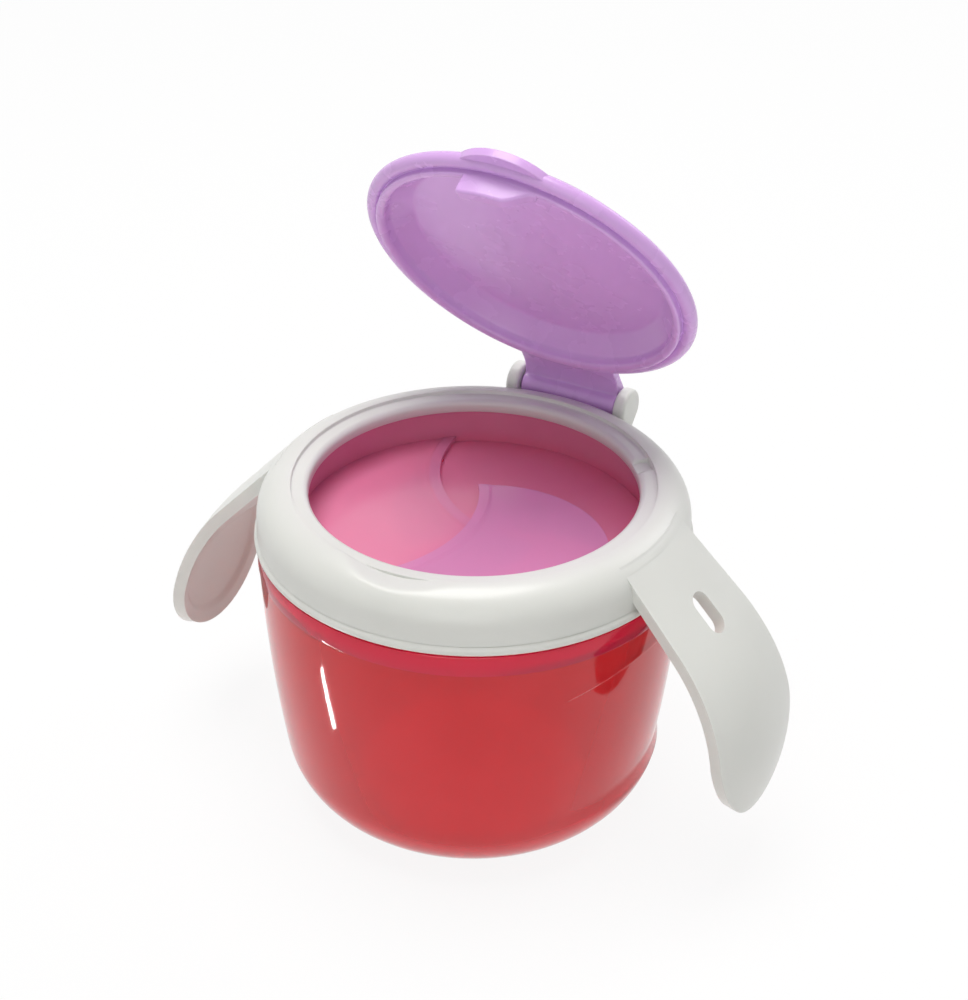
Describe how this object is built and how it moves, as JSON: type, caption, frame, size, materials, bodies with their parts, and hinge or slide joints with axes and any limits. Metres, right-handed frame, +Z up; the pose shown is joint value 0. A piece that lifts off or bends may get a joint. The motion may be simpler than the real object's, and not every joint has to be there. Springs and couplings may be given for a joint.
{
  "type": "toddler snack container",
  "caption": "Round handheld snack cup with side handles, a soft overlapping-flap insert that lets a hand in, and a hinged flip lid.",
  "frame": {"origin": "middle of the underside of the bowl's base, where the container stands", "axes": "+Z up through the bowl, +Y towards the lid's hinge, -Y towards the finger tab, +X and -X towards the two handles"},
  "size_m": [0.1458, 0.1002, 0.1542],
  "materials": {
    "bowl_plastic": "injection-moulded translucent red polypropylene, smooth",
    "collar_plastic": "injection-moulded white polypropylene, satin",
    "insert_elastomer": "moulded translucent lilac thermoplastic elastomer, satin",
    "lid_plastic": "injection-moulded lilac polypropylene, satin"
  },
  "bodies": {
    "bowl": {"bowl": "bowl_plastic"},
    "collar": {"collar": "collar_plastic"},
    "flap_insert": {"flap_insert": "insert_elastomer"},
    "lid": {"lid": "lid_plastic"}
  },
  "joints": [
    {"name": "collar_lift", "type": "slide", "parent": "bowl", "child": "collar", "axis": [0, 0, 1], "range_m": [0, 0.044]},
    {"name": "insert_lift", "type": "slide", "parent": "bowl", "child": "flap_insert", "axis": [0, 0, 1], "range_m": [0, 0.022]},
    {"name": "lid_hinge", "type": "hinge", "parent": "collar", "child": "lid", "pos_m": [0, 0.0475, 0.0777], "axis": [-1, 0, 0], "range_deg": [-57, 63]}
  ],
  "couplings": [
    {"joint": "insert_lift", "follows": "collar_lift", "ratio": 0.5}
  ]
}
